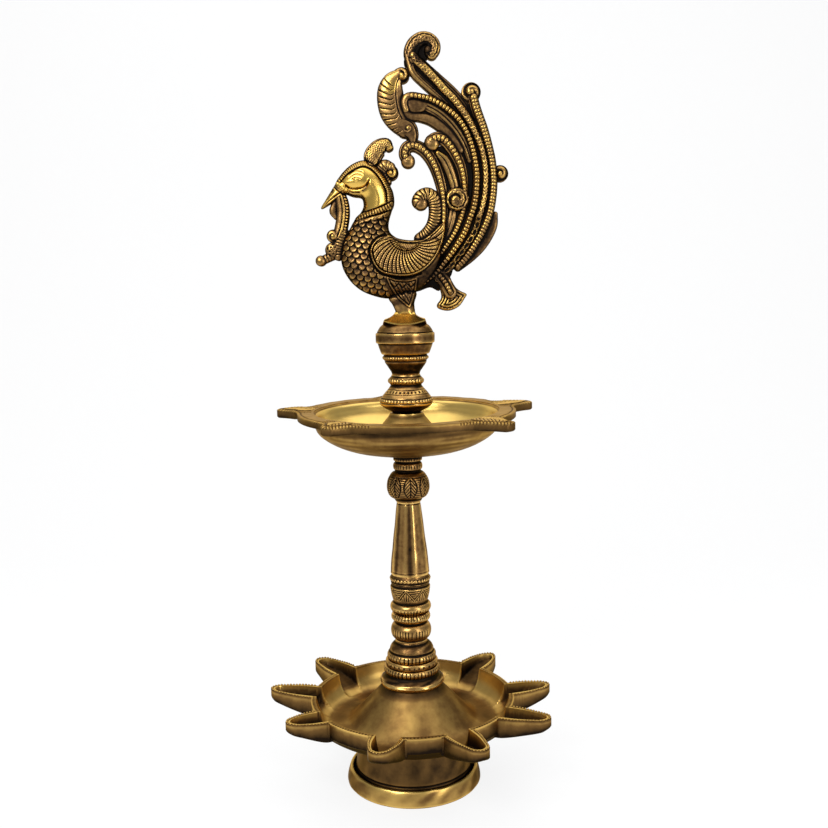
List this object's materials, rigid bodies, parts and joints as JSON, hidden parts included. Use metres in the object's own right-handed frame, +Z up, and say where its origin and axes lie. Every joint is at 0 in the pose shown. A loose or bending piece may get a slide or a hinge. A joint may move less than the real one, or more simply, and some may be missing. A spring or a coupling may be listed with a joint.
{
  "type": "oil lamp",
  "caption": "Free-standing antique brass oil lamp: spouted oil bowls screwed together on a turned pillar, with a cast openwork peacock on a turned pedestal.",
  "frame": {"origin": "centre of the foot on the surface it stands on", "axes": "+Z up the pillar, the bird looks along -X, the front of the lamp faces -Y"},
  "size_m": [0.1766, 0.1721, 0.4494],
  "materials": {
    "cast_brass": "polished cast brass with dark patina in the recesses",
    "turned_brass": "turned and engraved brass with brown patina",
    "bird_brass": "chased cast brass with black patina in the recesses",
    "steel": "plain steel"
  },
  "bodies": {
    "base": {"foot": "cast_brass", "foot_washer": "steel", "foot_nut": "steel"},
    "lower_bowl": {"lower_bowl": "cast_brass"},
    "lower_stud": {"lower_stud": "steel"},
    "pillar": {"pillar_bell": "turned_brass", "pillar_rings": "turned_brass", "pillar_shaft": "turned_brass", "pillar_knob": "turned_brass"},
    "upper_bowl": {"upper_bowl": "cast_brass"},
    "upper_stud": {"upper_stud": "steel"},
    "finial": {"pedestal_bulb": "turned_brass", "pedestal_cup": "turned_brass", "peacock": "bird_brass"}
  },
  "joints": [
    {"name": "lower_bowl_turn", "type": "hinge", "parent": "base", "child": "lower_bowl", "pos_m": [0, 0, 0], "axis": [0, 0, 1], "continuous": true},
    {"name": "pillar_turn", "type": "hinge", "parent": "base", "child": "lower_stud", "pos_m": [0, 0, 0], "axis": [0, 0, 1], "range_deg": [0, 3000]},
    {"name": "pillar_lift", "type": "slide", "parent": "lower_stud", "child": "pillar", "axis": [0, 0, 1], "range_m": [0, 0.0125]},
    {"name": "upper_bowl_turn", "type": "hinge", "parent": "pillar", "child": "upper_bowl", "pos_m": [0, 0, 0], "axis": [0, 0, 1], "continuous": true},
    {"name": "finial_turn", "type": "hinge", "parent": "pillar", "child": "upper_stud", "pos_m": [0, 0, 0], "axis": [0, 0, 1], "range_deg": [0, 2700]},
    {"name": "finial_lift", "type": "slide", "parent": "upper_stud", "child": "finial", "axis": [0, 0, 1], "range_m": [0, 0.00937]}
  ],
  "couplings": [
    {"joint": "pillar_turn", "follows": "pillar_lift", "rad_per_m": 4188.8},
    {"joint": "finial_turn", "follows": "finial_lift", "rad_per_m": 5026.5}
  ]
}
